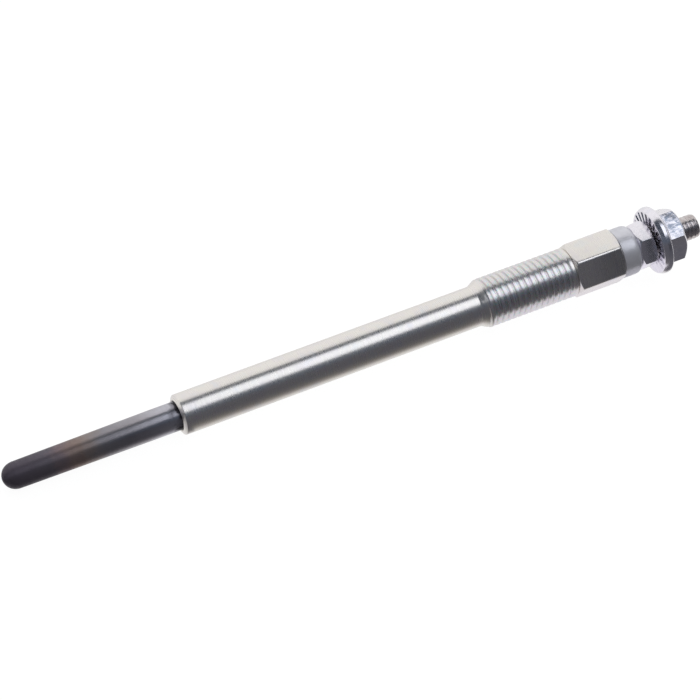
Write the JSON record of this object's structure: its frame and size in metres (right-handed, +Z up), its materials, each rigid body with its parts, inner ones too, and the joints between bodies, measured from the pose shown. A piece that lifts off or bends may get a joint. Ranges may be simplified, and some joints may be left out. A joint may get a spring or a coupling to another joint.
{
  "type": "diesel glow plug",
  "caption": "Sheathed diesel glow plug: dark glow tube, long zinc-plated shell with fine mounting thread and hexagon, grey insulating bush, lock nut and flange nut on a threaded terminal.",
  "frame": {"origin": "on the plug's axis, at the front end of the mounting thread", "axes": "+X along the axis from the hot tip to the terminal, +Z up through a flat of the shell's hexagon"},
  "size_m": [0.1207, 0.011, 0.011],
  "materials": {
    "zinc_plated_steel": "bright zinc plating over turned steel",
    "heat_tinted_alloy": "dark heat-tinted scale",
    "coil_wire": "drawn resistance wire",
    "magnesia": "compacted powder",
    "seal_rubber": "moulded",
    "pin_steel": "bare rolled thread",
    "bush_plastic": "moulded, matt",
    "plated_nut": "bright plating"
  },
  "bodies": {
    "root": {"shell": "zinc_plated_steel", "glow_tube": "heat_tinted_alloy", "heating_coil": "coil_wire", "regulating_coil": "coil_wire", "magnesia_filling": "magnesia", "tube_seal": "seal_rubber", "terminal_pin": "pin_steel", "shell_seal": "seal_rubber", "insulating_bush": "bush_plastic", "lock_nut": "plated_nut", "terminal_nut": "plated_nut"}
  },
  "joints": []
}
